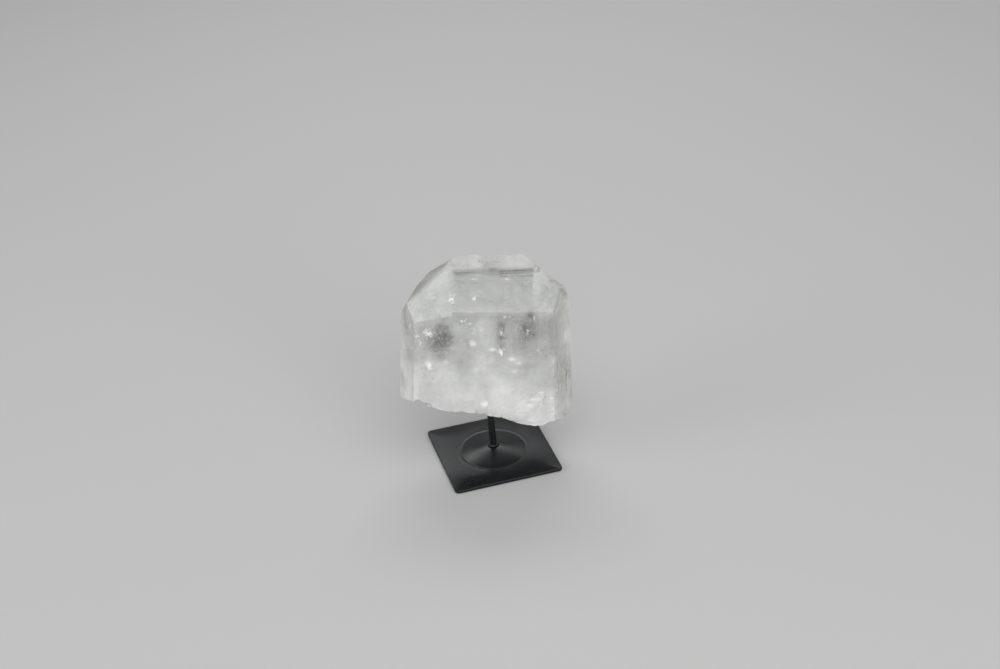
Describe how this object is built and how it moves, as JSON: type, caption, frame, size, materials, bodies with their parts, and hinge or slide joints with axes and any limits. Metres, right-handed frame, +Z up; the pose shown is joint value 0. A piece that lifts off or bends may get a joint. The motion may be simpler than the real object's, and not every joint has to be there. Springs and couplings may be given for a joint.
{
  "type": "quartz crystal on stand",
  "caption": "Wide tabular clear quartz crystal with twin peaks and a broken base, held upright by a rod on a square foot plate.",
  "frame": {"origin": "bottom centre of the whole specimen's bounding box, on the surface that the foot plate rests on", "axes": "+Z up, the crystal's broad front face towards -Y, its width along X; the foot plate is turned 15 degrees about Z"},
  "size_m": [0.1242, 0.0966, 0.1546],
  "materials": {
    "quartz": "clear quartz, milky in parts, glossy growth faces, hackly broken base",
    "rod_paint": "satin black paint",
    "plate_paint": "satin black paint with fine dust"
  },
  "bodies": {
    "root": {"quartz_crystal": "quartz", "rod": "rod_paint", "base_plate": "plate_paint"}
  },
  "joints": []
}
